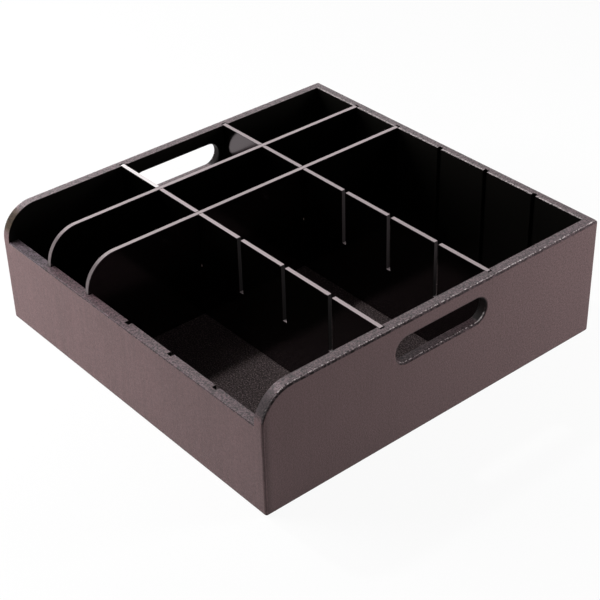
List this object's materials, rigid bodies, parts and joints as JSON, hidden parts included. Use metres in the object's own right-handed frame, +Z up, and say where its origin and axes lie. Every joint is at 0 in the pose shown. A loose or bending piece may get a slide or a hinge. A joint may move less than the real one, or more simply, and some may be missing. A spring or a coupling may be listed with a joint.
{
  "type": "compartment tray",
  "caption": "Square open tray with a low front wall, hand holes in both side walls and halved lift-out dividers that stand in grooves.",
  "frame": {"origin": "on the resting plane, under the middle of the tray", "axes": "+Z up, +Y from the low front wall to the high back wall, +X to the right seen from the front"},
  "size_m": [0.351, 0.356, 0.11],
  "materials": {
    "textured_board": "fine textured spray coat, brown-black",
    "black_sheet": "gloss faces with pale satin sawn edges",
    "dowel_wood": "bare beech"
  },
  "bodies": {
    "tray": {"base_panel": "textured_board", "front_wall": "textured_board", "back_wall": "textured_board", "side_wall_left": "textured_board", "side_wall_right": "textured_board", "dowel_front_left_1": "dowel_wood", "dowel_front_left_2": "dowel_wood", "dowel_front_right_1": "dowel_wood", "dowel_front_right_2": "dowel_wood", "dowel_back_left_1": "dowel_wood", "dowel_back_left_2": "dowel_wood", "dowel_back_right_1": "dowel_wood", "dowel_back_right_2": "dowel_wood"},
    "cross_front": {"cross_divider_front": "black_sheet"},
    "cross_rear": {"cross_divider_rear": "black_sheet"},
    "long_1": {"long_divider_1": "black_sheet"},
    "long_2": {"long_divider_2": "black_sheet"}
  },
  "joints": [
    {"name": "cross_front_lift", "type": "slide", "parent": "tray", "child": "cross_front", "axis": [0, 0, 1], "range_m": [0, 0.13]},
    {"name": "cross_rear_lift", "type": "slide", "parent": "tray", "child": "cross_rear", "axis": [0, 0, 1], "range_m": [0, 0.13]},
    {"name": "long_1_lift", "type": "slide", "parent": "cross_front", "child": "long_1", "axis": [0, 0, 1], "range_m": [0, 0.13]},
    {"name": "long_2_lift", "type": "slide", "parent": "cross_front", "child": "long_2", "axis": [0, 0, 1], "range_m": [0, 0.13]}
  ],
  "couplings": [
    {"joint": "cross_rear_lift", "follows": "cross_front_lift", "ratio": 1}
  ]
}
